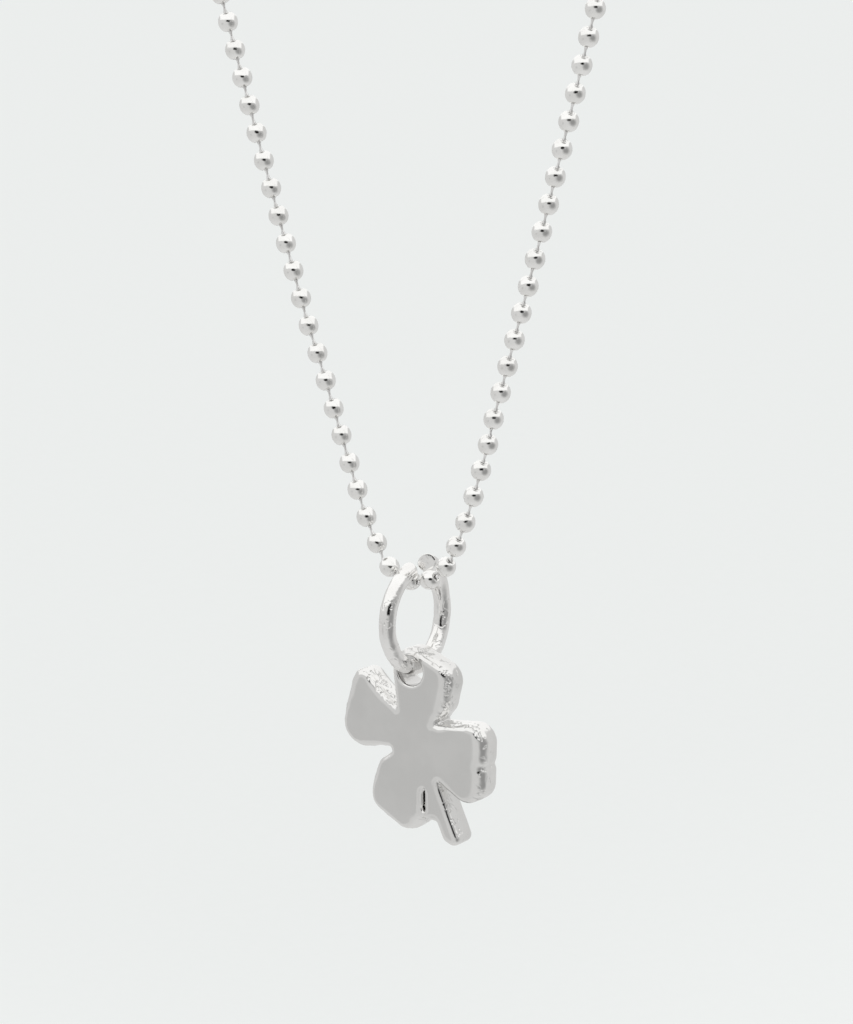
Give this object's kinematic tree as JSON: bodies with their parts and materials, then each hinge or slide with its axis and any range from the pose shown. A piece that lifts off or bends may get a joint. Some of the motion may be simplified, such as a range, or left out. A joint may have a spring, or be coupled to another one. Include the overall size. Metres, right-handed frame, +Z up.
{
  "type": "four leaf clover pendant on a ball chain",
  "caption": "Flat cast four leaf clover with a stem, hung from a jump ring on a fine ball chain that closes with a barrel clasp.",
  "frame": {"origin": "top of the hanging loop, on the middle line of the chain, inside the clasp", "axes": "+Z up the hanging loop, +X to the right across it, +Y through it from the clover's face to its back"},
  "size_m": [0.0896, 0.0084, 0.2115],
  "materials": {
    "bead_silver": "bright polished silver",
    "wire_silver": "drawn silver wire",
    "clasp_silver": "polished silver, a little worn",
    "ring_silver": "polished silver, a little dented",
    "clover_silver": "polished flat faces and hammered edges"
  },
  "bodies": {
    "chain": {"ball_chain": "bead_silver", "chain_wire": "wire_silver", "clasp": "clasp_silver"},
    "ring": {"jump_ring": "ring_silver"},
    "charm": {"clover": "clover_silver"}
  },
  "joints": [
    {"name": "ring_swing", "type": "hinge", "parent": "chain", "child": "ring", "pos_m": [0.0003, 0, -0.19164], "axis": [1, 0, 0], "range_deg": [-90, 90]},
    {"name": "clover_swing", "type": "hinge", "parent": "ring", "child": "charm", "pos_m": [0.0003, 0, -0.1975], "axis": [0, 1, 0], "range_deg": [-90, 75]}
  ]
}
